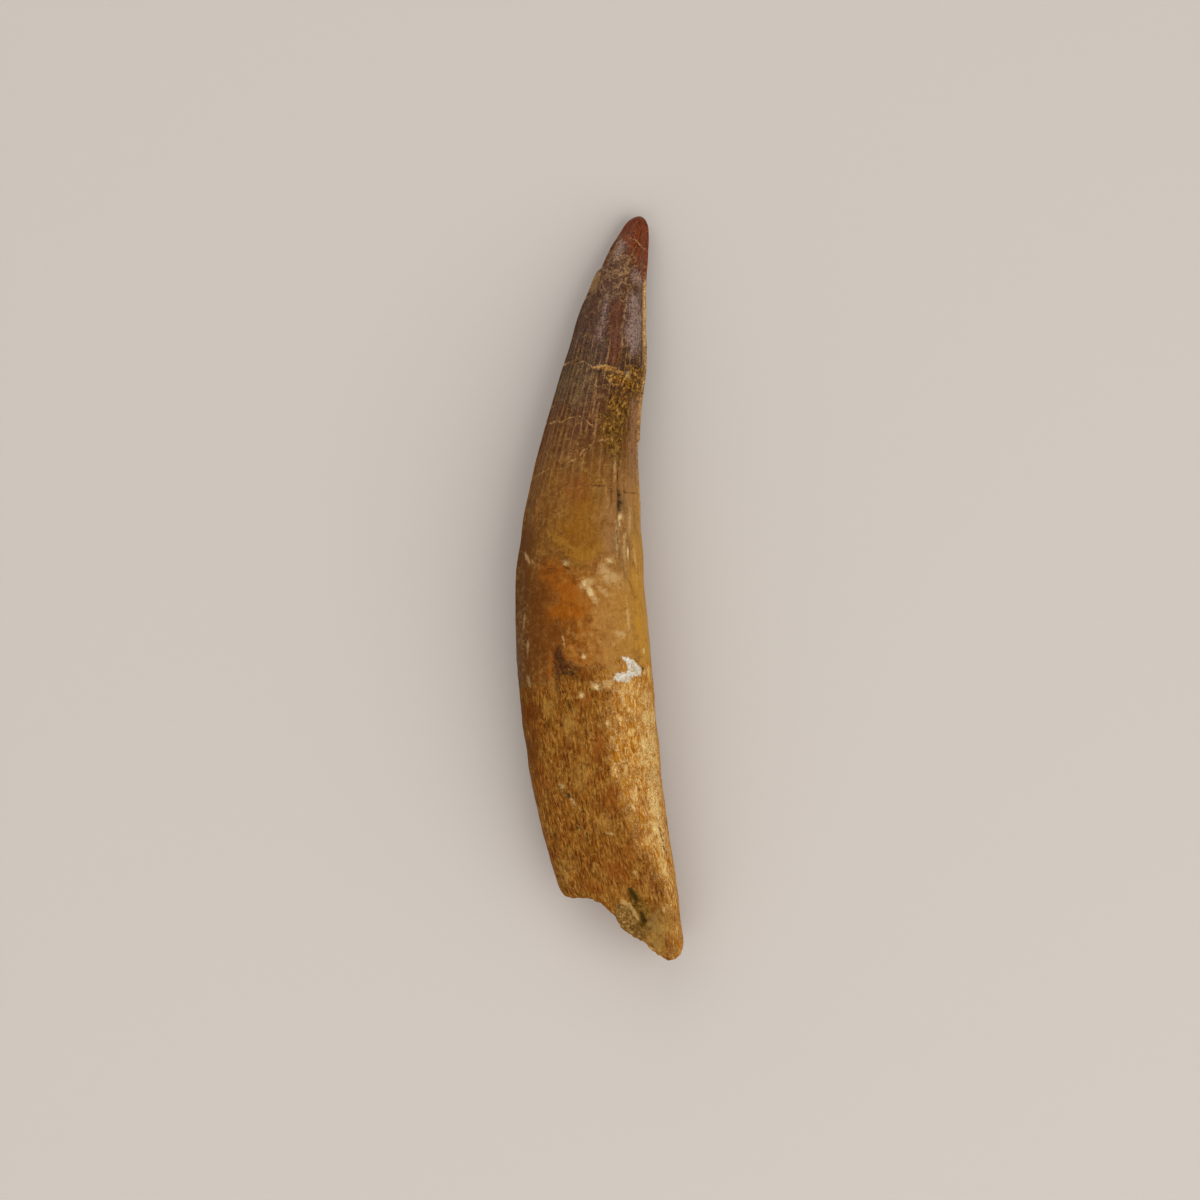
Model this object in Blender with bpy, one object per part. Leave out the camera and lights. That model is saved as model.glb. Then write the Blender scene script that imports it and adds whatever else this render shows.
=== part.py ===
"""A fossil Spinosaurus tooth, lying on its side: the crown and the broken-off root, in one piece.

Run with: blender --background --python part.py
The tooth's tip points to +Y, it curves towards +X, and it rests on Z = 0. The values below are in
millimetres and degrees; the mesh is in metres. A height is measured along the tooth, from just
below the root towards the tip. Across is -1 at the outer edge of the curve and 1 at the inner edge,
and up is -1 on the side that the tooth lies on and 1 on the side that faces up.
"""

import math

import bmesh
import bpy
import numpy as np

MM = 0.001

# The tooth's sections, from the broken end to the tip.
ROOT_END = 0.4
TIP = 110.4
MIDDLE = (ROOT_END + TIP) / 2.0
SECTIONS = (
    # height, centre across, centre up, half width, half thickness
    (0.0, 5.4, 5.7, 7.3, 5.7),
    (12.0, 2.45, 6.4, 8.8, 6.65),
    (24.0, 0.05, 7.3, 9.5, 7.3),
    (36.0, -1.4, 7.65, 9.75, 7.65),
    (48.0, -2.2, 7.85, 9.65, 7.8),
    (58.0, -2.5, 7.65, 9.0, 7.4),
    (68.0, -2.1, 7.15, 8.0, 6.75),
    (78.0, -1.0, 6.4, 6.75, 5.9),
    (88.0, 0.75, 5.4, 5.7, 5.1),
    (98.0, 2.45, 3.95, 4.2, 4.0),
    (105.0, 4.25, 3.1, 2.7, 2.7),
    (108.2, 5.35, 2.7, 1.65, 1.7),
    (110.0, 5.8, 2.5, 0.95, 0.95),
    (TIP, 5.95, 2.5, 0.0, 0.0),
)
OVAL_POWER = 2.15

# The outline of the break: across, then height where the tooth ends there.
BREAK_OUTLINE = (
    (-1.0, 10.3),
    (-0.95, 9.6),
    (-0.55, 9.8),
    (-0.35, 9.1),
    (-0.17, 7.3),
    (-0.08, 5.1),
    (0.1, 4.2),
    (0.25, 3.5),
    (0.5, 1.75),
    (0.73, ROOT_END),
    (0.92, 0.7),
    (1.0, 1.8),
)
UNDERSIDE_SHORTER = 1.8
WORN_EDGE = 1.3
WORN_EDGE_DEPTH = 0.6
WALL = 0.3
FILLING_DEPTH = 1.1
FILLING_SLOPE = 0.12
END_ROUGHNESS = 0.35
END_CENTRE = (3.6, 6.4)

# The crown's relief.
CROWN_BASE = 43.0
CROWN_STEP = 0.15
KEEL_ANGLES = (9.0, 171.0)
KEEL_HEIGHT = 0.4
KEEL_HALF_WIDTH = 0.6
KEEL_NICK_HEIGHT = 76.8
KEEL_NICK_DEPTH = 0.3
FLUTES = 20
FLUTE_DEPTH = 0.11
FLUTES_FROM = 56.0
FLUTES_TO = 100.0
GROOVE_ACROSS = 0.64
GROOVE_FROM = 58.0
GROOVE_TO = 76.0
GROOVE_DEPTH = 0.35
GROOVE_HALF_WIDTH = 0.06
CHIP_HEIGHT = 102.4
CHIP_LENGTH = 5.0
CHIP_DEPTH = 0.4
CHIP_ACROSS = -0.55

# The root's relief: a pit beside the break, the broken wall between them, and slow waves.
PIT_TOP = (4.7, 10.4)
PIT_BOTTOM = (7.4, 4.9)
PIT_HALF_WIDTH = 0.75
PIT_DEPTH = 1.1
SCAR_CENTRE = (3.6, 6.0)
SCAR_HALF_WIDTH = 2.2
SCAR_HALF_LENGTH = 3.0
SCAR_DEPTH = 0.8
WAVE_HEIGHT = 0.14

# How much of the underside is worn level, where the tooth lies.
WORN_LEVEL = 0.3

# The mesh.
AROUND = 80
ALONG = 44
NOSE_LENGTH = 3.0
NOSE_RINGS = 6
EDGE_RINGS = (0.0, 0.35, 0.9)
END_RINGS = (0.12, WALL, 0.42, 0.62, 0.82)

TOOTH_COLOUR = (0.262, 0.107, 0.026, 1.0)
TOOTH_ROUGHNESS = 0.55


def clear_scene():
    for old in list(bpy.data.objects):
        bpy.data.objects.remove(old)


def smooth_between(low, high, value):
    """0 below low, 1 above high, and a smooth rise between them."""
    part = np.clip((value - low) / (high - low), 0.0, 1.0)
    return part * part * (3.0 - 2.0 * part)


def curve(points, values, at):
    """A smooth curve through the values at the points, read at other places."""
    points = np.asarray(points, float)
    values = np.asarray(values, float)
    slopes = np.gradient(values, points)
    span = np.clip(np.searchsorted(points, at) - 1, 0, len(points) - 2)
    width = points[span + 1] - points[span]
    part = (at - points[span]) / width
    rest = 1.0 - part
    start = (1.0 + 2.0 * part) * rest**2 * values[span] + part * rest**2 * width * slopes[span]
    end = part**2 * (3.0 - 2.0 * part) * values[span + 1] - part**2 * rest * width * slopes[span + 1]
    return start + end


def section_value(column, height):
    heights = [section[0] for section in SECTIONS]
    return curve(heights, [section[column] for section in SECTIONS], height)


def section_radius(column, height):
    """A half size of the section. Its square is what runs smoothly, so that the tip closes round."""
    heights = [section[0] for section in SECTIONS]
    squares = [section[column] ** 2 for section in SECTIONS]
    return np.sqrt(np.maximum(curve(heights, squares, height), 0.0))


def oval(angle):
    """Across and up on the rim of the section's rounded oval."""
    power = 2.0 / OVAL_POWER
    across = np.sign(np.cos(angle)) * np.abs(np.cos(angle)) ** power
    up = np.sign(np.sin(angle)) * np.abs(np.sin(angle)) ** power
    return across, up


def break_height(across, up):
    """Where the tooth ends. The side that it lies on is broken off a little shorter."""
    outline = np.interp(across, *zip(*BREAK_OUTLINE))
    hidden = 1.0 - smooth_between(-0.5, 0.0, up)
    return outline + UNDERSIDE_SHORTER * hidden * (1.0 - 0.5 * across)


def distance_to_pit(x, height):
    """How far a place is from the line along the pit, seen from above."""
    start, end = np.array(PIT_TOP), np.array(PIT_BOTTOM)
    line = end - start
    part = np.clip(((x - start[0]) * line[0] + (height - start[1]) * line[1]) / (line @ line), 0.0, 1.0)
    return np.hypot(x - start[0] - part * line[0], height - start[1] - part * line[1])


def crown_relief(across, up, height, angle, half_thickness):
    on_crown = smooth_between(CROWN_BASE - 2.0, CROWN_BASE, height + 1.5 * np.sin(2.0 * angle))
    relief = CROWN_STEP * on_crown
    nick = KEEL_NICK_DEPTH * (1.0 - smooth_between(KEEL_NICK_HEIGHT - 0.5, KEEL_NICK_HEIGHT, height))
    for keel_angle, lost in zip(KEEL_ANGLES, (nick, 0.0)):
        turn = (angle - math.radians(keel_angle) + math.pi) % (2.0 * math.pi) - math.pi
        ridge = np.exp(-((turn * half_thickness / KEEL_HALF_WIDTH) ** 2))
        relief = relief + (KEEL_HEIGHT - lost) * ridge * on_crown
    fluted = smooth_between(FLUTES_FROM, FLUTES_FROM + 12.0, height)
    fluted = fluted * (1.0 - smooth_between(FLUTES_TO - 12.0, FLUTES_TO, height))
    relief = relief + FLUTE_DEPTH * fluted * np.cos(FLUTES * angle)
    grooved = smooth_between(GROOVE_FROM, GROOVE_FROM + 4.0, height)
    grooved = grooved * (1.0 - smooth_between(GROOVE_TO - 4.0, GROOVE_TO, height)) * (up > 0.0)
    relief = relief - GROOVE_DEPTH * grooved * np.exp(-(((across - GROOVE_ACROSS) / GROOVE_HALF_WIDTH) ** 2))
    chipped = smooth_between(CHIP_HEIGHT - 0.4, CHIP_HEIGHT, height)
    chipped = chipped * (1.0 - smooth_between(CHIP_HEIGHT, CHIP_HEIGHT + CHIP_LENGTH, height))
    return relief - CHIP_DEPTH * chipped * smooth_between(-CHIP_ACROSS, 1.0, -across)


def root_relief(x, up, height):
    facing_up = smooth_between(0.1, 0.5, up)
    pit = PIT_DEPTH * np.exp(-((distance_to_pit(x, height) / PIT_HALF_WIDTH) ** 2))
    scar = np.exp(
        -(((x - SCAR_CENTRE[0]) / SCAR_HALF_WIDTH) ** 4) - ((height - SCAR_CENTRE[1]) / SCAR_HALF_LENGTH) ** 4
    )
    return -facing_up * np.maximum(pit, SCAR_DEPTH * scar)


def waves(height, angle):
    """Slow swellings and hollows, which keep the surface from looking turned."""
    slow = np.sin(0.16 * height + 2.0 * angle) * np.cos(0.07 * height - 3.0 * angle)
    quick = 0.5 * np.sin(0.45 * height + 5.0 * angle + 2.0 * np.sin(0.2 * height))
    return WAVE_HEIGHT * (slow + quick) * (1.0 - smooth_between(90.0, 104.0, height))


def surface_points(height, angle):
    """The skin of the tooth, as x, y and z in millimetres."""
    across, up = oval(angle)
    half_width = section_radius(3, height)
    half_thickness = section_radius(4, height)
    x = section_value(1, height) + half_width * across
    z = section_value(2, height) + half_thickness * up
    relief = crown_relief(across, up, height, angle, half_thickness)
    relief = relief + root_relief(x, up, height) + waves(height, angle)
    relief = relief * smooth_between(0.0, 2.0, TIP - height)
    to_edge = np.clip((height - break_height(across, up)) / WORN_EDGE, 0.0, 1.0)
    relief = relief - WORN_EDGE_DEPTH * (1.0 - np.sqrt(1.0 - (1.0 - to_edge) ** 2))
    out_x = np.cos(angle) * half_thickness
    out_z = np.sin(angle) * half_width
    size = np.maximum(np.hypot(out_x, out_z), 1e-6)
    return np.stack([x + relief * out_x / size, height - MIDDLE, z + relief * out_z / size], axis=-1)


def side_rings(angle):
    """The rings of points from the rim of the break to just short of the tip."""
    across, up = oval(angle)
    end = break_height(across, up)
    nose = TIP - NOSE_LENGTH
    heights = [end + step for step in EDGE_RINGS]
    start = end + EDGE_RINGS[-1]
    heights += [start + (nose - start) * step / ALONG for step in range(1, ALONG + 1)]
    steps = range(NOSE_RINGS - 1, 0, -1)
    heights += [np.full_like(angle, TIP - NOSE_LENGTH * (step / NOSE_RINGS) ** 2) for step in steps]
    return [surface_points(height, angle) for height in heights]


def end_rings(rim, angle):
    """The rings across the broken face, from near the rim to near its centre.

    The worn wall of the root stands a little proud of the stone that fills its middle.
    """
    across, up = oval(angle)
    rings = []
    for inward in END_RINGS:
        outward = 1.0 - inward
        x = END_CENTRE[0] + (rim[:, 0] - END_CENTRE[0]) * outward
        z = END_CENTRE[1] + (rim[:, 2] - END_CENTRE[1]) * outward
        sunk = FILLING_DEPTH * smooth_between(WALL, WALL + FILLING_SLOPE, inward)
        rough = np.sin(1.1 * x + 0.6 * z) * np.cos(1.3 * z - 0.5 * x + 1.0)
        rough = END_ROUGHNESS * smooth_between(0.0, WALL, inward) * rough
        height = break_height(across * outward, up * outward) + sunk + rough
        rings.append(np.stack([x, height - MIDDLE, z], axis=-1))
    return rings


def join_rings(mesh, near, far):
    for index, corner in enumerate(near):
        following = (index + 1) % len(near)
        mesh.faces.new((corner, far[index], far[following], near[following]))


def close_ring(mesh, ring, point, towards_tip):
    centre = mesh.verts.new(point)
    for index, corner in enumerate(ring):
        following = ring[(index + 1) % len(ring)]
        mesh.faces.new((corner, centre, following) if towards_tip else (following, centre, corner))


def tooth_material():
    material = bpy.data.materials.new("fossil tooth")
    material.use_nodes = True
    shader = material.node_tree.nodes["Principled BSDF"]
    shader.inputs["Base Color"].default_value = TOOTH_COLOUR
    shader.inputs["Roughness"].default_value = TOOTH_ROUGHNESS
    shader.inputs["Metallic"].default_value = 0.0
    return material


def make_tooth():
    angle = np.arange(AROUND) * 2.0 * math.pi / AROUND
    sides = side_rings(angle)
    rings = np.array(end_rings(sides[0], angle)[::-1] + sides)
    level = rings[:, :, 2].min() + WORN_LEVEL
    rings[:, :, 2] = np.maximum(rings[:, :, 2], level)
    tip = np.array([SECTIONS[-1][1], TIP - MIDDLE, SECTIONS[-1][2]])
    floor = np.array([0.0, 0.0, level])
    shape = bmesh.new()
    loops = [[shape.verts.new((point - floor) * MM) for point in ring] for ring in rings]
    for near, far in zip(loops, loops[1:]):
        join_rings(shape, near, far)
    close_ring(shape, loops[0], (rings[0].mean(axis=0) - floor) * MM, towards_tip=False)
    close_ring(shape, loops[-1], (tip - floor) * MM, towards_tip=True)
    mesh = bpy.data.meshes.new("tooth")
    shape.to_mesh(mesh)
    shape.free()
    mesh.shade_smooth()
    mesh.materials.append(tooth_material())
    tooth = bpy.data.objects.new("tooth", mesh)
    bpy.context.scene.collection.objects.link(tooth)


def main():
    clear_scene()
    make_tooth()


main()
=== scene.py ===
"""The looks of a fossil Spinosaurus tooth: its fine surface, its material, soft light and a camera above.

Lengths are millimetres, and the mesh is in metres. A height is measured along the tooth, from just below
the root towards the tip, and x towards the inside of the tooth's curve. Across is -1 at the outer edge of
the curve and 1 at the inner edge, and up is -1 on the side that the tooth lies on and 1 on the side that
faces the camera. The marks on the tooth are placed by x and height, seen from above.
"""

import math

import bpy
import numpy as np
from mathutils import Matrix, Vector


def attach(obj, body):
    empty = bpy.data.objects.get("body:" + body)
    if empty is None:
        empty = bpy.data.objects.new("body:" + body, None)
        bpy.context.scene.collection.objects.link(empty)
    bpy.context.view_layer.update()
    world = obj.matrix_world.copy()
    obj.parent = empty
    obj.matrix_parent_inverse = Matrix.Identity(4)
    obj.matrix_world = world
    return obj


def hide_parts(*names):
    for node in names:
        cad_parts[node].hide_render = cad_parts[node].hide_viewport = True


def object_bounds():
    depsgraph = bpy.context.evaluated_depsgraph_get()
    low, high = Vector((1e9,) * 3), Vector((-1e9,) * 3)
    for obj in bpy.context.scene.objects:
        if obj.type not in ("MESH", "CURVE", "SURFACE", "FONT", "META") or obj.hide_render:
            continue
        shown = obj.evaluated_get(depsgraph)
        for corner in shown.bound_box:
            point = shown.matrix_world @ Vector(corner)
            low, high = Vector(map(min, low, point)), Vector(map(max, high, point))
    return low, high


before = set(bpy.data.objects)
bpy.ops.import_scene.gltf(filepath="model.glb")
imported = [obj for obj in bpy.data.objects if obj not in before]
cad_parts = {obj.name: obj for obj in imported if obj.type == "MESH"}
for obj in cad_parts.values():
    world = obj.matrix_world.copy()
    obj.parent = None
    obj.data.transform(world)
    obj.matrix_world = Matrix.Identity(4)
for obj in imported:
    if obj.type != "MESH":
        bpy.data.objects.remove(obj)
CAD_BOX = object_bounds()

MM = 0.001
FAR = 9
SEED = 7

# The tooth's sections, close to the CAD's: height, centre across, centre up, half width, half thickness.
ROOT_END = 0.4
TIP = 110.4
MIDDLE = (ROOT_END + TIP) / 2
SECTIONS = np.array([
    (0, 5.4, 5.7, 7.3, 5.7),
    (12, 2.45, 6.4, 8.8, 6.65),
    (24, 0.05, 7.3, 9.5, 7.3),
    (36, -1.5, 7.65, 9.85, 7.65),
    (48, -2.35, 7.85, 9.8, 7.8),
    (58, -2.62, 7.65, 9.15, 7.4),
    (68, -2.15, 7.15, 8.05, 6.75),
    (78, -1, 6.4, 6.75, 5.9),
    (88, 0.75, 5.4, 5.7, 5.1),
    (98, 2.45, 3.95, 4.2, 4),
    (105, 4.25, 3.1, 2.7, 2.7),
    (108.2, 5.35, 2.7, 1.65, 1.7),
    (110, 5.8, 2.5, 0.95, 0.95),
    (TIP, 5.95, 2.5, 0, 0),
])
HEIGHT, CENTRE_X, CENTRE_Z, HALF_WIDTH, HALF_THICKNESS = range(5)
OVAL_POWER = 2.15

# The break: across, then height where the tooth ends there.
BREAK_OUTLINE = (
    (-1, 10.3), (-0.95, 9.6), (-0.55, 9.8), (-0.35, 9.1), (-0.17, 7.3), (-0.08, 5.1), (0.1, 4.2),
    (0.25, 3.5), (0.5, 1.75), (0.73, ROOT_END), (0.92, 0.7), (1, 1.8),
)
JAG_HEIGHT = 0.22
JAGS_ACROSS = 9
UNDERSIDE_SHORTER = 1.8
WORN_EDGE = 1.3
WORN_EDGE_DEPTH = 0.6

# The stone in the broken end. The wall is a share of the way in to the middle.
END_CENTRE = (3.6, 6.4)
WALL = 0.3
WALL_WANDER = 0.05
FILLING_DEPTH = 1.1
FILLING_SLOPE = 0.12
STONE_ROUGHNESS = 0.22
STONE_GRAIN = 0.8

# The crown's relief. Four heights say where a thing starts, is full, fades and ends.
CROWN_BASE = 43
CROWN_STEP = 0.15
KEEL_ANGLES = (math.radians(9), math.radians(171))
KEEL_HEIGHT = 0.4
KEEL_HALF_WIDTH = 0.5
KEEL_STARTS = 42
KEEL_IS_FULL = 60
KEEL_NICK = (76.5, 76.8)
KEEL_NICK_DEPTH = 0.3
FLUTES = 42
FLUTE_DEPTH = 0.07
FLUTE_WANDER = 0.9
FLUTE_HEIGHTS = (60, 74, 89, 99)
GROOVE_ACROSS = 0.64
GROOVE_HALF_WIDTH = 0.05
GROOVE_DEPTH = 0.3
GROOVE_HEIGHTS = (58, 62, 72, 76)
CREVICE_HALF_WIDTH = 0.22
CREVICE_DEPTH = 0.35
CHIP_HEIGHTS = (102.1, 102.4, 102.4, 107.4)
CHIP_ACROSS = 0.55
CHIP_DEPTH = 0.4
RED_STREAK_DEPTH = 0.1
CRACKLE_DEPTH = 0.06
NOSE_LENGTH = 3
SMOOTH_TIP = 2

# The root's relief: a pit beside the break, and a facet where its wall has broken away.
PIT_DEPTH = 1.3
PIT_WALL_HALF_WIDTH = 0.38
FACET_DEPTH = 0.7
RIDGE_FILLS = 0.7
LOWER_HOLLOW_DEPTH = 0.4
CREAM_HEIGHT = 0.05
MAROON_DEPTH = 0.12

# The fine relief all over.
WAVE_HEIGHT = 0.14
WAVES_FADE = (90, 104)
FIBRE_HEIGHT = 0.035
LUMP_HEIGHT = 0.05
DENT_HEIGHT = 0.012
CRUST_HEIGHT = 0.1
CRUST_GRAIN_HEIGHT = 0.09
WHITE_DEPTH = 0.1
CRACKLE_HEIGHT = 0.05
# Bumps to a millimetre, across the tooth and along it.
FIBRES = (2.6, 0.3)
LUMPS = (1.3, 0.9)
GRAINS = (2.8, 2.4)
CRACKLE = (1.6, 1.6)

# How much of the underside is worn level, where the tooth lies.
WORN_LEVEL = 0.3

# The half width of the tooth in the coordinates that make it as wide all along.
EVEN_HALF_WIDTH = 6
LEAST_HALF_WIDTH = 0.3

# The mesh, and its map.
AROUND_ABOVE = 190
AROUND_BELOW = 120
ALONG = 276
NOSE_RINGS = 12
EDGE_RINGS = (0, 0.12, 0.3, 0.55, 0.9)
END_RINGS = 20
END_RING_POWER = 0.9
SIDE_UV_WIDTH = 0.8
END_UV_CENTRE = (0.905, 0.1)
END_UV_RADIUS = 0.09

# The camera looks straight down, from where the photograph was taken.
CAMERA_PLACE = (0.15, -2.1, 498.5)
LENS = 100
SENSOR = 36


def srgb(colour):
    """The shader's linear colour, from a screen's "#rrggbb"."""
    values = [int(colour[at : at + 2], 16) / 255 for at in (1, 3, 5)]
    linear = [value / 12.92 if value <= 0.04045 else ((value + 0.055) / 1.055) ** 2.4 for value in values]
    return (*linear, 1)


def rise(low, high, value):
    """0 below low, 1 above high, and a smooth rise between them."""
    part = np.clip((value - low) / (high - low), 0, 1)
    return part * part * (3 - 2 * part)


def fall(low, high, value):
    """1 below low, 0 above high, and a smooth fall between them."""
    return 1 - rise(low, high, value)


def within(heights, value):
    """A smooth rise between the first two heights, and a smooth fall between the last two."""
    start, full, fades, end = heights
    return rise(start, full, value) * (1 - rise(fades, end, value))


def read_line(points, at):
    """The height of a bent line through the points, read at other places."""
    return np.interp(at, *zip(*points))


def soft_line(away, half_width):
    """1 in the middle of a soft line, and about 0.37 at its half width."""
    return np.exp(-((away / half_width) ** 2))


def curve(points, values, at):
    """A smooth curve through the values at the points, read at other places."""
    slopes = np.gradient(values, points)
    span = np.clip(np.searchsorted(points, at) - 1, 0, len(points) - 2)
    width = points[span + 1] - points[span]
    part = (at - points[span]) / width
    rest = 1 - part
    start = (1 + 2 * part) * rest**2 * values[span] + part * rest**2 * width * slopes[span]
    end = part**2 * (3 - 2 * part) * values[span + 1] - part**2 * rest * width * slopes[span + 1]
    return start + end


def section_value(column, height):
    return curve(SECTIONS[:, HEIGHT], SECTIONS[:, column], height)


def section_radius(column, height):
    """A half size of the section. Its square runs smoothly, so that the tip closes round."""
    return np.sqrt(np.maximum(curve(SECTIONS[:, HEIGHT], SECTIONS[:, column] ** 2, height), 0))


def oval(angle):
    """Across and up on the rim of the section's rounded oval."""
    power = 2 / OVAL_POWER
    across = np.sign(np.cos(angle)) * np.abs(np.cos(angle)) ** power
    up = np.sign(np.sin(angle)) * np.abs(np.sin(angle)) ** power
    return across, up


LATTICE_SIZE = 32
LATTICE = np.random.default_rng(SEED).uniform(-1, 1, (LATTICE_SIZE,) * 3)


def noise(x, y, z):
    """Smooth noise from -1 to 1, with one bump or hollow to a unit of length."""
    places = np.stack(np.broadcast_arrays(x, y, z))
    cell = np.floor(places).astype(int)
    part = places - cell
    part = part * part * (3 - 2 * part)
    total = 0
    for corner in np.ndindex(2, 2, 2):
        weight = 1
        for axis, side in enumerate(corner):
            weight = weight * (part[axis] if side else 1 - part[axis])
        index = tuple((cell[axis] + side) % LATTICE_SIZE for axis, side in enumerate(corner))
        total = total + weight * LATTICE[index]
    return total


def rough_noise(x, y, z, octaves=3):
    """Noise with finer and fainter noise on it."""
    return sum(noise(x * 2**step, y * 2**step, z * 2**step) / 2**step for step in range(octaves))


def distance_to_line(x, height, start, end):
    """How far a place is from the straight line between two points."""
    start, end = np.array(start), np.array(end)
    line = end - start
    part = np.clip(((x - start[0]) * line[0] + (height - start[1]) * line[1]) / (line @ line), 0, 1)
    return np.hypot(x - start[0] - part * line[0], height - start[1] - part * line[1])


def distance_to_path(x, height, points):
    """How far a place is from the bent line through the points."""
    lines = zip(points, points[1:])
    return np.minimum.reduce([distance_to_line(x, height, start, end) for start, end in lines])


def inside_outline(x, height, outline):
    """How far a place is inside a closed outline, in mm, and below 0 outside it."""
    closed = outline + outline[:1]
    inside = np.zeros(np.shape(x), bool)
    for start, end in zip(closed, closed[1:]):
        crosses = (start[1] > height) != (end[1] > height)
        slope = (end[0] - start[0]) / (end[1] - start[1] or 1e-9)
        inside ^= crosses & (x < start[0] + (height - start[1]) * slope)
    away = distance_to_path(x, height, closed)
    return np.where(inside, away, -away)


def inside_any(x, height, outlines):
    return np.maximum.reduce([inside_outline(x, height, outline) for outline in outlines])


def nearest_crack(x, height, cracks):
    """The signed distance to the nearest of the cracks, in mm. Each crack is a list of points.

    It changes sign across a crack, so a thin line of it stays sharp between the points of the mesh.
    """
    nearest = np.full(np.shape(x), FAR)
    for crack in cracks:
        for start, end in zip(crack, crack[1:]):
            away = distance_to_line(x, height, start, end)
            side = (x - start[0]) * (end[1] - start[1]) - (height - start[1]) * (end[0] - start[0])
            closer = away < np.abs(nearest)
            nearest = np.where(closer, np.where(side < 0, -away, away), nearest)
    return nearest


# The marks on the side that faces the camera: the points along each crack or round each patch.
CREAM_CRACKS = (
    ((-5.6, 87.8), (-4.8, 88), (-3.8, 88.6)),
    (
        (-3, 88.3), (-2.1, 88.3), (-1, 87.5), (0.2, 87.5), (1.1, 87.7), (2.4, 87.3), (3.4, 86.6),
        (4.4, 86.6),
    ),
    ((1, 85.9), (1.7, 84.9), (3.1, 84.6), (3.5, 85.4)),
    ((-7.7, 79.1), (-6.3, 79.4), (-5.4, 79.3), (-4.4, 79.9), (-2.9, 80.2), (-2.1, 79.8), (-1.2, 78.9)),
    ((-3.8, 73.6), (-2.9, 74.1), (-2.1, 75.2), (-1.3, 75.8)),
    ((-8.7, 71.7), (-7.3, 72.5), (-5.8, 72.5)),
    ((-0.2, 76.5), (1.4, 76.8)),
    ((4.8, 106.8), (5.7, 106.3), (6.4, 105.5), (7.1, 105.1)),
    ((0.1, 102.7), (-0.5, 101.6), (-1.1, 100.4)),
)
VEINS = (
    ((2, 103.9), (2.7, 104.3), (3, 105.2)),
    ((2.7, 104.3), (3.3, 104.1), (3.9, 104.3), (4.6, 103.8), (4.4, 103.2), (4, 102.3), (4.1, 101.7)),
    ((4.1, 101.7), (3.9, 100.7), (4, 99.9), (4.7, 99.6)),
    ((0.6, 102.2), (1.3, 102), (2, 101.7), (2.9, 101.9), (3.1, 101)),
    ((2.9, 101.9), (4, 102.3)),
    ((0.6, 100.1), (0.8, 99.4), (1.2, 98.7), (1.9, 98)),
    ((2.9, 97.6), (3.7, 97.2)),
    ((2.4, 99.9), (3.1, 99.4), (3.3, 98.5)),
    (
        (4.3, 99), (4, 97.8), (3.9, 96.5), (3.7, 95.5), (3.6, 94.3), (3.1, 92.7), (3.4, 91.8),
        (3.3, 90.2),
    ),
    ((-0.9, 79.9), (-0.7, 82.6), (-0.3, 85.4)),
    ((-10.5, 59.7), (-9.7, 58.8)),
)
DARK_CRACKS = (
    ((-1, 70), (0.8, 69.9), (2.4, 68.9)),
    ((3, 69.2), (4.9, 68.9)),
    ((2.6, 63.4), (2.7, 61.9)),
    ((4.5, 99.2), (6.4, 98.7)),
    ((0.5, 102.6), (0.3, 101), (-0.2, 99.8), (-1, 99)),
    ((4.8, 44.8), (5.5, 44.4), (6.2, 43.6)),
    ((-6.3, 46.2), (-6.3, 43.8), (-6.1, 41.4)),
    ((-9, 59), (-7.5, 57.9), (-6.5, 57.9)),
    ((-1.3, 40.3), (-0.4, 38.2)),
    ((0.1, 36.8), (0.5, 35.2)),
    ((-2.6, 29.4), (-2.4, 26.6)),
    ((-2.6, 24.2), (-2.3, 22.4)),
    ((-2.1, 20.6), (-1.9, 19.3), (-1.3, 16.9), (-1.1, 14.4)),
    ((-4.9, 25.5), (-4.4, 24.8)),
    ((8.7, 21.2), (9.3, 18.6), (9.9, 16)),
)
CRACKS = {"cream_crack": CREAM_CRACKS, "dark_crack": DARK_CRACKS, "vein": VEINS}
CREVICE = ((2.9, 69.4), (3.15, 68), (3, 67), (3.2, 66.2))
WHITE_PATCH = (
    (3.2, 45), (4.1, 45), (4.8, 44.6), (5.5, 44), (6.4, 43.1), (6.1, 42.5), (5.2, 42.2), (4.5, 41.7),
    (4.2, 41.2), (3.2, 41.3), (2, 41.8), (2.6, 42.7), (3.2, 42.7), (3.9, 42.7), (4.2, 43.3), (3.9, 44.3),
)
CRUST_PATCHES = (
    ((1.4, 86.2), (3, 86.4), (5.2, 88.2), (6.6, 87.6), (6.4, 83), (4.4, 83), (2.6, 84)),
    (
        (1.2, 83.4), (4.6, 83.4), (4.2, 79.6), (3.8, 75.6), (2.9, 72.3), (1.7, 73.2), (0, 76),
        (0.4, 80),
    ),
)
SLIVER = ((-0.5, 103), (0.3, 101.9), (0.1, 100.1), (-0.7, 99), (-2.2, 98.6))
PIT = (
    (3.9, 11.6), (5.2, 11.1), (6, 10), (7.2, 8.7), (7.6, 7.6), (7.1, 6), (6.4, 4.7), (5.7, 6),
    (5.9, 7.2), (5.1, 8.4), (4.4, 9.8),
)
PIT_WALLS = (((4.5, 11.3), (5.7, 9.4)), ((6.5, 7.5), (7.1, 5.7)))
FACET = ((2.2, 9), (4.4, 9), (5.6, 7.8), (6.6, 6.6), (7, 4.6), (5.4, 3), (3, 3.6), (1.6, 6))
# Painted sheens: patches where highlights on the enamel are painted into its colour, as a lilac grey.
SHEENS = (
    ((4.5, 99.1), (6.4, 98.7), (6.7, 94), (6.4, 89.6), (4.6, 88.8), (3.5, 92.7), (4, 96.5)),
    ((0.8, 98.8), (1.5, 97.8), (1.1, 94), (0.2, 90.6), (-0.6, 91.4), (0, 94)),
)

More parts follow.
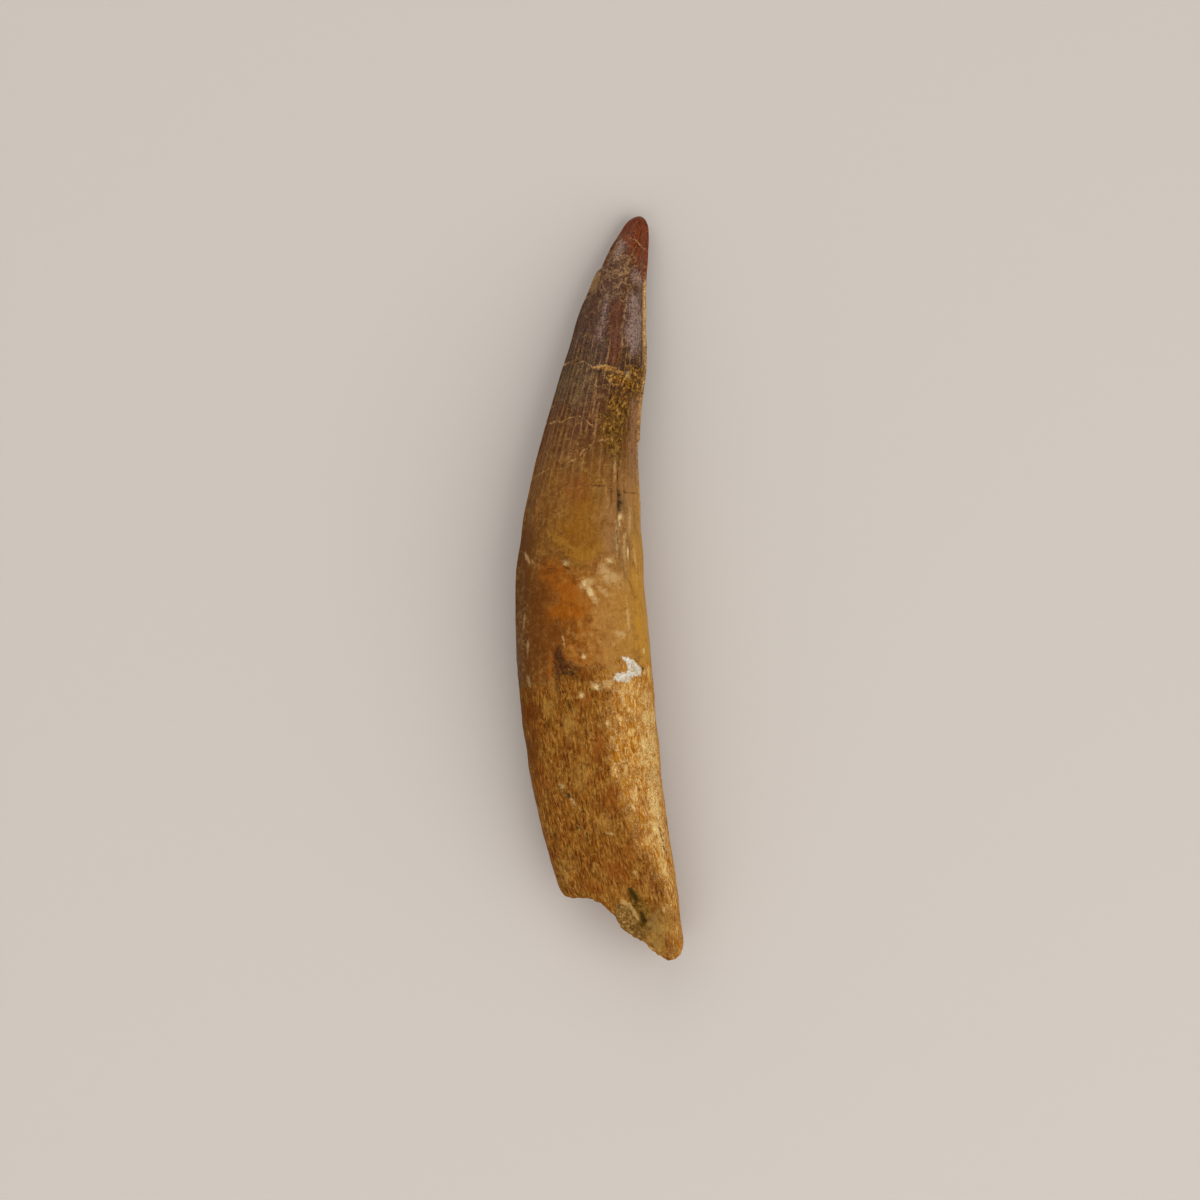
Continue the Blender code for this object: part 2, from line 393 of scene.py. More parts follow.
# Soft bands on the same side: half width, colour, how much of it there is, and the points along each.
BANDS = {
    "ochre_rim": (0.8, "#9e701e", 0.3, ((-6.4, 62.8), (-5.3, 61.3), (-3.8, 60), (-1.6, 60), (0.3, 61))),
    "ochre_shadow": (0.35, "#684c1a", 0.4, ((-5.8, 59.8), (-4.2, 58.6), (-1.8, 58.3))),
    "crack_lip": (0.32, "#b27c36", 0.6, ((-0.6, 87.4), (0.6, 87.5), (1.8, 87.2), (3.2, 86.5))),
    "smooth_band": (0.6, "#866838", 0.45, ((7.1, 8.6), (7.9, 6.6), (8.6, 4.4), (8, 2))),
    "ridge": (0.45, "#b8965a", 0.6, ((3.4, 9.5), (4.5, 8.7), (5.7, 7.1), (6.5, 6))),
    "lower_hollow": (0.4, "#4e3610", 0.5, ((4.9, 5.2), (6, 5.9), (7.3, 5.4))),
}

# Stains on the same side, among them painted sheens and some painted highlights: x, height, half width,
# half length and turn in degrees of the blots in each.
STAIN_WANDER = 0.4
BAND_WANDER = 0.3
STAINS = {
    "ochre": ((-2.5, 63.4, 3.4, 4.4), (-2.4, 67, 2.8, 1.6), (-2.6, 60, 2.6, 1.2, 20)),
    "orange": (
        (-4.8, 54.4, 2.8, 2, -20), (-3.6, 52, 2.4, 1.6, 10), (-5.4, 51.6, 2.4, 1.6, 10),
        (-6.9, 43.8, 0.35, 2.4), (-6.4, 57.4, 2.2, 1.9),
    ),
    "flame": ((-2.9, 53.8, 0.9, 1.4, 10), (-4.6, 56.2, 1.8, 0.5, -14), (-3.6, 51.6, 0.7, 1)),
    "burnt": (
        (-9, 52.6, 1.8, 3.6, 6), (-8.6, 47, 2.2, 4), (-6.4, 48.4, 1.8, 1.2), (-2.5, 42.5, 1.4, 0.9),
        (-9.8, 37, 1.4, 1.6), (-9.6, 31, 1, 2.4), (-7.8, 54.2, 1.2, 1.8), (-10.5, 59.5, 0.8, 4, -4),
        (-7, 57.4, 1.6, 0.4, 10),
    ),
    "tan": ((3.4, 52.8, 2.8, 6.4), (1, 57.4, 2, 1.4, -30), (1.5, 46.4, 2.4, 1.4), (0.4, 49.8, 1.2, 2)),
    "mauve": ((1.7, 63.4, 0.8, 3.2), (4.5, 67.4, 0.6, 5.4), (5.1, 78.6, 0.8, 4.6, -4), (5, 73, 0.5, 3)),
    "maroon": ((-5.7, 44.7, 0.8, 2), (-5, 43.3, 1.2, 1.5), (-3.8, 43.2, 1, 0.7), (-6, 42.4, 0.45, 2.4)),
    # Painted sheens: lilac-grey highlights painted near the tip.
    "painted_sheen": ((3.1, 105.2, 0.8, 1.5, -24), (5.6, 101, 1, 1.4)),
    "grey": (
        (2.5, 86, 1, 0.9), (-4.4, 84.6, 3.2, 3.4), (1.4, 97.6, 0.6, 0.9, 30), (7.6, 5.6, 0.6, 2.8, -22),
        (5, 65, 0.3, 2.4, 3), (4.4, 61, 0.2, 3, 3), (3.6, 57.6, 0.2, 2.4, 4), (3.2, 67.4, 0.8, 1.8),
        (2.4, 62.6, 0.3, 2),
    ),
    "straw": (
        (-4.3, 35.2, 0.9, 2.4), (-2.9, 28, 1, 2.2), (0.5, 21.6, 1.6, 1.6), (-7.4, 37.6, 0.8, 1.6),
        (-6.4, 40.4, 0.7, 2), (-5, 14, 1.4, 2.4),
    ),
    "rust": (
        (-9.6, 36.2, 1.1, 2.8), (-1.6, 38.8, 1.2, 1.4), (-0.3, 32.2, 1, 2.2), (2, 24.6, 1.8, 1.5),
        (-2.2, 42.9, 1.6, 0.8), (-8.6, 27, 1, 2.4), (2.2, 14.2, 2.4, 1.4, -40), (-1, 11.6, 2, 1, -20),
        (8, 28, 0.5, 1), (6.6, 24, 0.8, 0.6), (4.6, 17, 1, 1.6), (-3.2, 69.7, 2, 1.6),
    ),
    "pore": (
        (-4.5, 24.9, 0.4, 0.4), (-1.9, 34, 0.2, 0.9), (-3.2, 20.5, 0.3, 0.6), (-4.2, 37.9, 0.25, 1, 10),
        (3.1, 68.7, 0.3, 0.4), (3.15, 67.4, 0.38, 0.6), (3.05, 66.3, 0.25, 0.35), (2.6, 62.6, 0.18, 0.6),
        (6.3, 43.3, 0.3, 0.3), (2.7, 71.4, 0.15, 0.8), (3, 60.4, 0.15, 0.9), (-4.6, 58, 0.7, 0.2, -20),
    ),
    # Pale haze and streaks. The blots between x -2 and 1.6, at heights 53 to 59, are the glow round a
    # painted highlight.
    "pale_haze_and_highlight": (
        (1.6, 59, 0.8, 0.35), (1.4, 57, 2, 1, -30), (-0.6, 53.2, 0.5, 1, 35), (-2, 55.5, 1, 0.8, 30),
        (2.6, 62.4, 0.4, 2.6, 4), (3, 65.5, 0.4, 0.8), (3.3, 48.4, 1, 0.5), (-4.9, 58.8, 0.7, 0.5),
        (-5.1, 47.4, 0.2, 0.9, 10), (1.4, 41, 0.9, 0.7), (-10.5, 59.4, 0.25, 0.9, 20), (-0.4, 41, 0.9, 0.7),
        (3.7, 60.8, 0.2, 2.4), (4.3, 65, 0.2, 2.2), (5.2, 59, 0.15, 2.6, 5), (0.6, 54.6, 1.2, 0.3, -30),
        (2.2, 74, 0.2, 2), (4.2, 50.6, 0.2, 2.6, 6),
    ),
    # Cream spots. The two near (-2.2, 55.7) and (-1.3, 54.4) are painted highlights.
    "cream": (
        (-2.2, 55.7, 0.3, 0.25, 20), (-1.3, 54.4, 0.5, 0.6, 20), (-2.3, 45.2, 0.32, 0.5),
        (6.6, 45.9, 0.2, 0.5), (-2.5, 39.5, 0.4, 0.4), (-0.4, 40.6, 0.5, 0.3, 20), (3, 65.4, 0.25, 0.5),
        (1.5, 59.1, 0.5, 0.2), (-4.8, 58.6, 0.2, 0.25), (3.05, 64.4, 0.15, 0.4), (0.1, 87.5, 0.5, 0.25),
        (4.1, 86.3, 0.4, 0.7), (4.2, 60.2, 0.12, 0.9),
    ),
    "fleck": (
        (7.3, 42.4, 0.3, 0.8), (1.8, 47.1, 0.5, 0.3, -30), (3.6, 39.6, 0.35, 1.4), (2.3, 28.8, 0.5, 0.7),
        (3.9, 28.5, 0.3, 0.9), (8.2, 22.6, 0.7, 2.2, 8), (8.7, 19.6, 0.5, 1.4, 8), (-3.9, 24, 0.3, 0.6, 40),
        (1.7, 19.4, 0.7, 0.2, -20), (-5.3, 25.9, 0.4, 0.8, 40), (5.2, 13.6, 0.25, 0.3),
        (9.4, 14.4, 0.5, 1.7, 8), (7.2, 18.2, 0.3, 1, -40), (2.9, 36.2, 0.4, 0.5), (6.5, 32.4, 0.5, 0.9),
        (5.2, 25, 0.4, 0.8), (-10.3, 46.6, 0.2, 0.9), (-10.2, 41.6, 0.25, 1, 20), (-10.9, 50.6, 0.15, 1),
        (9.4, 8, 0.25, 0.5, -10), (1.2, 35.4, 0.35, 0.5), (4.4, 34.1, 0.7, 0.6), (6.9, 29.8, 1, 0.4, 10),
        (4.9, 23.1, 0.4, 0.4), (4.3, 37.5, 0.4, 0.4), (7.9, 36, 0.3, 1, 4), (5.4, 39.8, 0.8, 0.5),
    ),
    "lobe": ((8.2, 3, 2.6, 5, -10), (3.4, 6, 2, 2.2)),
}


# Where each kind of surface lies. Four heights say where it starts, is full, fades and ends.
# The hem is the crown's lower edge, and its waves are a height, a number round the tooth and a phase.
HIDDEN_HEM_WAVES = ((2.4, 2, 0.7), (1.3, 7, 0.4))
HEM_NOISE = 2
HEM_RAGGEDNESS = 1.6
HEM_SLANT = 2
HEM_WANDER = 1.4
HEM_REACH = 2.4
HIDDEN_HEM_REACH = 1.2
BRIGHT_FROM = ((4, 9.4), (14, 6.6), (20, 4.2), (26, 2.2), (32, 0.8), (40, 0))
GOLD_HEIGHTS = (41, 46, 60, 76)
RED_STREAK = ((87.6, 2.3), (93.2, 2.2), (97.9, 2.9))
RED_STREAK_HALF_WIDTH = 0.9
RED_STREAK_HEIGHTS = (85, 90, 96.5, 98.5)
TIP_COLOUR_RISES = (100.4, 106)
TIP_COLOUR_SLANT = 2.4
TIP_COLOUR_MIDDLE = 5.4
CRACKLE_RISES = (97, 99.5)
CRACKLE_FADES = (104.5, 108)
CRACKLE_SLANT = 1.4
CRACKLE_MIDDLE = 4.2
KEEL_LINE_STRENGTH = ((52, 0), (66, 0.7), (88, 0.75), (96, 1), (99, 1), (104, 0))
RIM_RISES = (13, 22)
RIM_FADES = (34, 43)
LOOPS_RISE = (38, 46)
LOOPS_FADE = (50, 62)
LOOPS_FADE_INWARD = (43, 47)
CHIP_EDGE = (-0.15, 0.15)
PIT_EDGE = (-0.3, 0.6)


def break_height(across, up):
    """Where the tooth ends. The side that it lies on is broken off a little shorter."""
    jags = JAG_HEIGHT * rough_noise(across * JAGS_ACROSS, up * JAGS_ACROSS, 3.3)
    shorter = UNDERSIDE_SHORTER * fall(-0.5, 0, up) * (1 - 0.5 * across)
    return read_line(BREAK_OUTLINE, across) + jags + shorter


def place_rings():
    """Every ring of the skin, from the worn edge of the break to just short of the tip."""
    above = np.arange(AROUND_ABOVE) * math.pi / AROUND_ABOVE
    below = math.pi + np.arange(AROUND_BELOW) * math.pi / AROUND_BELOW
    angle = np.concatenate([above, below])
    end = break_height(*oval(angle))
    start = end + EDGE_RINGS[-1]
    nose = TIP - NOSE_LENGTH
    rows = [end + step for step in EDGE_RINGS]
    rows += [start + (nose - start) * step / ALONG for step in range(1, ALONG + 1)]
    to_tip = [NOSE_LENGTH * (step / NOSE_RINGS) ** 2 for step in range(NOSE_RINGS - 1, 0, -1)]
    rows += [np.full_like(angle, TIP - length) for length in to_tip]
    return np.array(rows), angle


class Places:
    """Where each point of some rings is on the tooth, as arrays with a row for each ring."""

    def __init__(self, height, angle):
        self.height = height
        self.angle = np.broadcast_to(angle, height.shape)
        self.across, self.up = oval(self.angle)
        self.half_width = section_radius(HALF_WIDTH, height)
        self.half_thickness = section_radius(HALF_THICKNESS, height)
        self.centre_x = section_value(CENTRE_X, height)
        self.centre_z = section_value(CENTRE_Z, height)
        self.x = self.centre_x + self.half_width * self.across
        self.z = self.centre_z + self.half_thickness * self.up
        self.facing = rise(0, 0.3, self.up)
        self.slow = self.noise(0.45)
        self.fine = self.noise(1.6)
        self.bends = [
            rough_noise(0.5 * self.x, 0.5 * height, 0.5 * self.z + apart) for apart in (10, 20)
        ]
        self.bent_x = self.x + BAND_WANDER * self.bends[0]
        self.bent_height = height + BAND_WANDER * self.bends[1]

    def noise(self, scale):
        """Noise at each place, with this many bumps to a millimetre."""
        return noise(scale * self.x, scale * self.height, scale * self.z)

    def stretched_noise(self, scales, octaves=2):
        """Noise that follows the tooth, with this many bumps to a millimetre across it and along it."""
        across, along = scales
        x, z = self.x - self.centre_x, self.z - self.centre_z
        return rough_noise(across * x, along * self.height, across * z, octaves)


def crown_mask(place):
    """The enamel. Its hem slants on the side that faces the camera, and is scalloped on the other."""
    hidden = 1 - place.facing
    scallops = sum(size * np.sin(count * place.angle + phase) for size, count, phase in HIDDEN_HEM_WAVES)
    scallops = scallops + HEM_NOISE * noise(0.8 * place.x, 3.7, 0.8 * place.z) + HEM_RAGGEDNESS * place.fine
    hem = HEM_SLANT * place.across * place.facing + HEM_WANDER * place.slow + scallops * hidden
    reach = HEM_REACH + HIDDEN_HEM_REACH * hidden
    return rise(-1, 1, (place.height - CROWN_BASE - hem) / reach)


def crown_masks(place):
    """The kinds of surface along the crown."""
    x, height, across, facing, slow = place.x, place.height, place.across, place.facing, place.slow
    shaded = rise(0.6, 1, -across + 0.1 * slow) * rise(20, 40, height)
    streak = soft_line(x - read_line(RED_STREAK, height), RED_STREAK_HALF_WIDTH)
    tip = height + TIP_COLOUR_SLANT * (x - TIP_COLOUR_MIDDLE) * facing + 0.9 * slow
    crackle = fall(*CRACKLE_FADES, height + CRACKLE_SLANT * (x - CRACKLE_MIDDLE))
    return {
        "crown": crown_mask(place),
        "flute": flutes(place),
        "shaded": shaded * (1 - 0.6 * rise(61, 66, height)),
        "gold": rise(0.7, 0.92, across) * within(GOLD_HEIGHTS, height),
        "red": streak * within(RED_STREAK_HEIGHTS, height) * facing,
        "tip": rise(*TIP_COLOUR_RISES, tip),
        "crackle": rise(*CRACKLE_RISES, height + slow) * crackle,
        "keel": read_line(KEEL_LINE_STRENGTH, height) * (across > 0),
        "crevice": soft_line(distance_to_path(x, height, CREVICE), CREVICE_HALF_WIDTH) * facing,
    }


def root_masks(place):
    """The kinds of surface on the root and where it meets the crown."""
    x, height, across, slow = place.x, place.height, place.across, place.slow
    # A pale band along the root's inner edge, on the side facing the camera: partly its paler fibres,
    # partly painted light where that edge catches the light.
    rim = rise(0.65, 0.9, across) * fall(*RIM_FADES, height + slow)
    rim = rim * rise(*RIM_RISES, height + slow) * rise(0.05, 0.5, place.up)
    loops = rise(0.7, 0.9, -across) * fall(*LOOPS_FADE, height)
    loops = np.maximum(loops, 0.6 * fall(*LOOPS_FADE_INWARD, height))
    return {
        "bright": rise(-4, 4.5, x - read_line(BRIGHT_FROM, height) + 1.2 * slow),
        "rim": rim,
        "loops": loops * rise(*LOOPS_RISE, height) * rise(-0.1, 0.5, place.up),
    }


def patch_masks(place):
    """The patches with an outline, on the side that faces the camera."""
    x, height = place.x, place.height
    ragged = 0.25 * place.noise(2.4)
    walls = np.minimum.reduce([distance_to_line(x, height, *wall) for wall in PIT_WALLS])
    found = {
        "crust": rise(-1, 1, inside_any(x, height, CRUST_PATCHES) + 0.7 * place.fine),
        "white": rise(*CHIP_EDGE, inside_outline(x, height, WHITE_PATCH) + 0.5 * ragged),
        "sliver": rise(*CHIP_EDGE, inside_outline(x, height, SLIVER)),
        "pit": rise(*PIT_EDGE, inside_outline(x, height, PIT) + ragged),
        "pit_wall": soft_line(walls, PIT_WALL_HALF_WIDTH),
        "facet": rise(*PIT_EDGE, inside_outline(x, height, FACET) + ragged),
    }
    return {name: mask * place.facing for name, mask in found.items()}


def blot(place, centre_x, centre_height, half_width, half_length, turn=0):
    """1 in the middle of a stain, and about 0.37 at its rim, which bends in and out."""
    turn = math.radians(turn)
    wander = STAIN_WANDER * min(half_width, half_length)
    off_x = place.x - centre_x + wander * place.bends[0]
    off_height = place.height - centre_height + wander * place.bends[1]
    along_x = off_x * math.cos(turn) + off_height * math.sin(turn)
    along_y = off_height * math.cos(turn) - off_x * math.sin(turn)
    return np.exp(-((along_x / half_width) ** 2) - (along_y / half_length) ** 2)


def stain_masks(place):
    """The bands, the stains and the painted sheens, on the side that faces the camera."""
    found = {}
    for name, (half_width, _, _, points) in BANDS.items():
        away = distance_to_path(place.bent_x, place.bent_height, points)
        found[name] = soft_line(away, half_width) * place.facing
    for name, blots in STAINS.items():
        found[name] = np.maximum.reduce([blot(place, *numbers) for numbers in blots]) * place.facing
    # The painted sheens, fading where the surface turns away from the camera.
    sheen = rise(-0.9, 1.8, inside_any(place.bent_x, place.height, SHEENS))
    found["painted_sheen"] = np.maximum(found["painted_sheen"], sheen * rise(0.15, 0.55, place.up))
    return found


def masks(place):
    """How much of each kind of surface there is at each place, from 0 to 1."""
    found = {"turned_away": 1 - place.facing, "inner": 0.5 + 0.5 * place.across}
    for group in (crown_masks, root_masks, patch_masks, stain_masks):
        found.update(group(place))
    return found


def flutes(place):
    """The fine ridges along the crown, from 0 between them to 1 on their crests."""
    wander = FLUTE_WANDER * noise(3 * place.across, 0.06 * place.height, 3 * place.up)
    crests = 1 - np.abs(np.sin(0.5 * FLUTES * place.angle + wander))
    return within(FLUTE_HEIGHTS, place.height) * crests


def keel_side(place):
    """The way round the section to the nearer keel's crest, in mm, and below 0 on its lower side."""
    nearest = np.full(place.x.shape, FAR)
    for keel_angle in KEEL_ANGLES:
        turn = (place.angle - keel_angle + math.pi) % (2 * math.pi) - math.pi
        away = turn * place.half_thickness
        nearest = np.where(np.abs(away) < np.abs(nearest), away, nearest)
    return nearest


def crown_relief(place, found):
    """The step at the crown's base, the keels, flutes, groove and crevice, and the chip at the tip."""
    height, across = place.height, place.across
    step = CROWN_STEP * found["crown"] * rise(0, 0.5, 1 - np.abs(across))
    nick = KEEL_NICK_DEPTH * fall(*KEEL_NICK, height) * (across > 0)
    keel = soft_line(keel_side(place), KEEL_HALF_WIDTH) * rise(KEEL_STARTS, KEEL_IS_FULL, height)
    raised = step + (KEEL_HEIGHT - nick) * keel + FLUTE_DEPTH * found["flute"]
    groove = soft_line(across - GROOVE_ACROSS, GROOVE_HALF_WIDTH) * within(GROOVE_HEIGHTS, height)
    chip = within(CHIP_HEIGHTS, height) * rise(CHIP_ACROSS, 1, -across)
    sunk = GROOVE_DEPTH * groove * place.facing + CHIP_DEPTH * chip + RED_STREAK_DEPTH * found["red"]
    return raised - sunk - CRACKLE_DEPTH * found["crackle"] - CREVICE_DEPTH * found["crevice"]


def root_relief(found):
    """The pit beside the break, the broken facet below it, and the stains that stand out or in."""
    facet = FACET_DEPTH * found["facet"] * (1 - RIDGE_FILLS * found["ridge"])
    facet = facet + LOWER_HOLLOW_DEPTH * found["lower_hollow"]
    stains = CREAM_HEIGHT * found["cream"] - MAROON_DEPTH * found["maroon"]
    return stains - np.maximum(PIT_DEPTH * found["pit"], facet)


def waves(place):
    """Slow swellings and hollows, which keep the surface from looking turned."""
    height, angle = place.height, place.angle
    slow = np.sin(0.16 * height + 2 * angle) * np.cos(0.07 * height - 3 * angle)
    quick = 0.5 * np.sin(0.45 * height + 5 * angle + 2 * np.sin(0.2 * height))
    return WAVE_HEIGHT * (slow + quick) * fall(*WAVES_FADE, height)


def grain_relief(place, found):
    """Fibres and lumps on the root, grains on the crust, and small dents all over."""
    lumps = place.stretched_noise(LUMPS)
    root = FIBRE_HEIGHT * place.stretched_noise(FIBRES) + LUMP_HEIGHT * lumps
    crust = CRUST_HEIGHT + CRUST_GRAIN_HEIGHT * place.stretched_noise(GRAINS)
    relief = (1 - found["crown"]) * root + DENT_HEIGHT * lumps + found["crust"] * crust
    cracked = found["crackle"] * place.stretched_noise(CRACKLE, octaves=1)
    return relief - WHITE_DEPTH * found["white"] + CRACKLE_HEIGHT * cracked


def skin_points(place, found):
    """The skin of the tooth, as x, y and z in millimetres."""
    relief = crown_relief(place, found) + root_relief(found) + waves(place) + grain_relief(place, found)
    relief = relief * rise(0, SMOOTH_TIP, TIP - place.height)
    from_edge = np.clip((place.height - place.height[0]) / WORN_EDGE, 0, 1)
    relief = relief - WORN_EDGE_DEPTH * (1 - np.sqrt(1 - (1 - from_edge) ** 2))
    out_x = np.cos(place.angle) * place.half_thickness
    out_z = np.sin(place.angle) * place.half_width
    size = np.maximum(np.hypot(out_x, out_z), 1e-6)
    x = place.x + relief * out_x / size
    return np.stack([x, place.height - MIDDLE, place.z + relief * out_z / size], axis=-1)


def end_points(rim, place):
    """The broken end, from its middle to its rim: the stone inside, then the worn wall of the root."""
    rings, sunk_rings = [], []
    for step in range(END_RINGS, 0, -1):
        inward = (step / (END_RINGS + 1)) ** END_RING_POWER
        outward = 1 - inward
        x = END_CENTRE[0] + (rim[:, 0] - END_CENTRE[0]) * outward
        z = END_CENTRE[1] + (rim[:, 2] - END_CENTRE[1]) * outward
        sunk = rise(WALL, WALL + FILLING_SLOPE, inward + WALL_WANDER * noise(x, 0, z))
        rough = STONE_ROUGHNESS * rough_noise(STONE_GRAIN * x, 4, STONE_GRAIN * z, 4)
        rough = rough * rise(0, WALL, inward)
        outline = break_height(place.across[0] * outward, place.up[0] * outward)
        rings.append(np.stack([x, outline + FILLING_DEPTH * sunk + rough - MIDDLE, z], axis=-1))
        sunk_rings.append(sunk)
    return np.array(rings), np.array(sunk_rings)


def face_corners(rings, around):
    """The ring and the turn of each corner of the quads between the rings, and of the fans at both ends.

    The middle of the broken end counts as ring -1, and the tip as one ring past the last.
    """
    turn = np.arange(around)
    ring, here = np.meshgrid(np.arange(rings - 1), turn, indexing="ij")
    quads = (ring[..., None] + [0, 1, 1, 0]).reshape(-1, 4), (here[..., None] + [0, 0, 1, 1]).reshape(-1, 4)
    end_fan = np.tile([0, -1, 0], (around, 1)), turn[:, None] + [1, 0, 0]
    tip_fan = np.tile([rings - 1, rings, rings - 1], (around, 1)), turn[:, None] + [0, 0.5, 1]
    return quads, end_fan, tip_fan


def point_numbers(ring, turn, rings, around):
    """Which point each corner is. The two poles come after the rings."""
    numbers = np.where(ring < rings, ring * around + turn % around, rings * around + 1)
    return np.where(ring < 0, rings * around, numbers).astype(int).tolist()


def map_places(ring, turn, rings, around, end_rings):
    """The skin unrolled on the left of the map, and the broken end as a disc at its right."""
    angle = 2 * math.pi * turn / around
    reach = END_UV_RADIUS * (ring + 1) / (end_rings + 1)
    disc = [END_UV_CENTRE[0] + reach * np.cos(angle), END_UV_CENTRE[1] + reach * np.sin(angle)]
    side = [SIDE_UV_WIDTH * turn / around, (ring - end_rings) / (rings - end_rings)]
    on_end = ring.min(axis=1) < end_rings
    return np.where(on_end[:, None], disc, side).reshape(2, -1).T


def fit_in_box(points, box):
    """Set down where the CAD solid rests, and kept inside that solid's box."""
    low, high = (np.array(corner) / MM for corner in box)
    floor = np.array([0, 0, points[:, 2].min() - low[2]])
    return np.clip(points - floor, low, high)


def add_attribute(mesh, name, values):
    kind, field = ("FLOAT_VECTOR", "vector") if values.ndim == 2 else ("FLOAT", "value")
    made = mesh.attributes.new(name, kind, "POINT")
    made.data.foreach_set(field, values.astype(np.float32).ravel())


def add_masks(mesh, place, found, sunk):
    """Every mask and signed distance, at the points of the broken end, the skin and the two poles."""

    def add(name, on_skin, on_end):
        before = np.broadcast_to(on_end, sunk.shape).ravel()
        values = np.concatenate([before, on_skin.ravel(), [before[0], on_skin.ravel()[-1]]])
        add_attribute(mesh, name, values)

    for name, values in found.items():
        add(name, values, 0)
    add("wall", np.zeros_like(place.x), 1 - sunk)
    add("filling", np.zeros_like(place.x), sunk)
    for name, cracks in CRACKS.items():
        distance = nearest_crack(place.x, place.height, cracks)
        add(name, np.where(place.up > 0, distance, FAR), FAR)
    add("keel_side", keel_side(place), FAR)


def add_places(mesh, points):
    """The points as if the tooth were straight, and again as if it were also as wide all along."""
    height = points[:, 1] + MIDDLE
    along = np.clip(height, 0, TIP)
    off_x = points[:, 0] - section_value(CENTRE_X, along)
    off_z = points[:, 2] - section_value(CENTRE_Z, along)
    add_attribute(mesh, "straight", np.stack([off_x, height, off_z], axis=-1))
    widening = EVEN_HALF_WIDTH / np.maximum(section_radius(HALF_WIDTH, along), LEAST_HALF_WIDTH)
    add_attribute(mesh, "turned", np.stack([off_x * widening, height, off_z * widening], axis=-1))


def add_to_scene(name, data):
    made = bpy.data.objects.new(name, data)
    bpy.context.scene.collection.objects.link(made)
    return made


def make_tooth():
    heights, angle = place_rings()
    place = Places(heights, angle)
    found = masks(place)
    skin = skin_points(place, found)
    end, sunk = end_points(skin[0], place)
    rings, around = len(end) + len(skin), len(angle)
    tip = [SECTIONS[-1, CENTRE_X], TIP - MIDDLE, SECTIONS[-1, CENTRE_Z]]
    points = np.concatenate([end.reshape(-1, 3), skin.reshape(-1, 3), [end[0].mean(axis=0), tip]])
    points[:, 2] = np.maximum(points[:, 2], points[:, 2].min() + WORN_LEVEL)
    mesh = bpy.data.meshes.new("tooth_surface")
    corners = face_corners(rings, around)
    faces = sum((point_numbers(ring, turn, rings, around) for ring, turn in corners), [])
    mesh.from_pydata((fit_in_box(points, CAD_BOX) * MM).tolist(), [], faces)
    mesh.shade_smooth()
    add_masks(mesh, place, found, sunk)
    add_places(mesh, points)
    uv = np.concatenate([map_places(ring, turn, rings, around, len(end)) for ring, turn in corners])
    mesh.uv_layers.new(name="OFBake").data.foreach_set("uv", uv.astype(np.float32).ravel())
    return add_to_scene("tooth_surface", mesh)


class Output:
    """One output of a node. Sums, products and the like of it are Math nodes."""

    def __init__(self, shader, socket):
        self.shader = shader
        self.socket = socket

    def __add__(self, other):
        return self.shader.math("ADD", self, other)

    def __sub__(self, other):
        return self.shader.math("SUBTRACT", self, other)

    def __mul__(self, other):
        return self.shader.math("MULTIPLY", self, other)

    def __truediv__(self, other):
        return self.shader.math("DIVIDE", self, other)

    def __abs__(self):
        return self.shader.math("ABSOLUTE", self)


class Shader:
    """The nodes of a material or of the sky, with a short method for each kind."""

    def __init__(self, owner, last="Principled BSDF"):
        owner.use_nodes = True
        self.owner = owner
        self.tree = owner.node_tree
        self.last = self.tree.nodes[last]

    def feed(self, node, values):
        """Links each output to an input of the node, and sets each plain value or colour."""
        for name, value in values.items():
            if isinstance(value, Output):
                self.tree.links.new(value.socket, node.inputs[name])
            else:
                node.inputs[name].default_value = srgb(value) if isinstance(value, str) else value

    def node(self, kind, inputs, output=0, **settings):
        made = self.tree.nodes.new(kind)
        for name, value in settings.items():
            setattr(made, name, value)
        self.feed(made, inputs)
        return Output(self, made.outputs[output])

    def mask(self, name):
        return self.node("ShaderNodeAttribute", {}, "Fac", attribute_name=name)

    def place(self, name, along=1, across=1):
        """A place on the tooth, stretched along it and across it."""
        vector = self.node("ShaderNodeAttribute", {}, "Vector", attribute_name=name)
        stretch = (across, along, across)
        return self.node("ShaderNodeVectorMath", {0: vector, 1: stretch}, operation="MULTIPLY")

    def noise(self, vector, scale, detail=3, roughness=0.55, distortion=0):
        inputs = {"Vector": vector, "Scale": scale, "Detail": detail, "Roughness": roughness}
        return self.node("ShaderNodeTexNoise", {**inputs, "Distortion": distortion}, "Fac")

    def math(self, operation, first, second=0):
        return self.node("ShaderNodeMath", {0: first, 1: second}, operation=operation)

    def most(self, first, second):
        return self.math("MAXIMUM", first, second)

    def band(self, value, low, high, start=0, end=1):
        """A smooth step from start to end as the value goes from low to high."""
        inputs = {"Value": value, "From Min": low, "From Max": high, "To Min": start, "To Max": end}
        return self.node("ShaderNodeMapRange", inputs, interpolation_type="SMOOTHSTEP")

    def mix(self, amount, first, second, blend="MIX"):
        inputs = {0: amount, 6: first, 7: second}
        return self.node("ShaderNodeMix", inputs, 2, data_type="RGBA", blend_type=blend)

    def ramp(self, value, stops):
        """The colour at a value. Each stop is a value and its colour."""
        made = self.tree.nodes.new("ShaderNodeValToRGB")
        elements = made.color_ramp.elements
        elements[0].position, elements[-1].position = stops[0][0], stops[-1][0]
        for position, _ in stops[1:-1]:
            elements.new(position)
        for element, (_, colour) in zip(elements, stops):
            element.color = srgb(colour)
        self.feed(made, {"Fac": value})
        return Output(self, made.outputs["Color"])


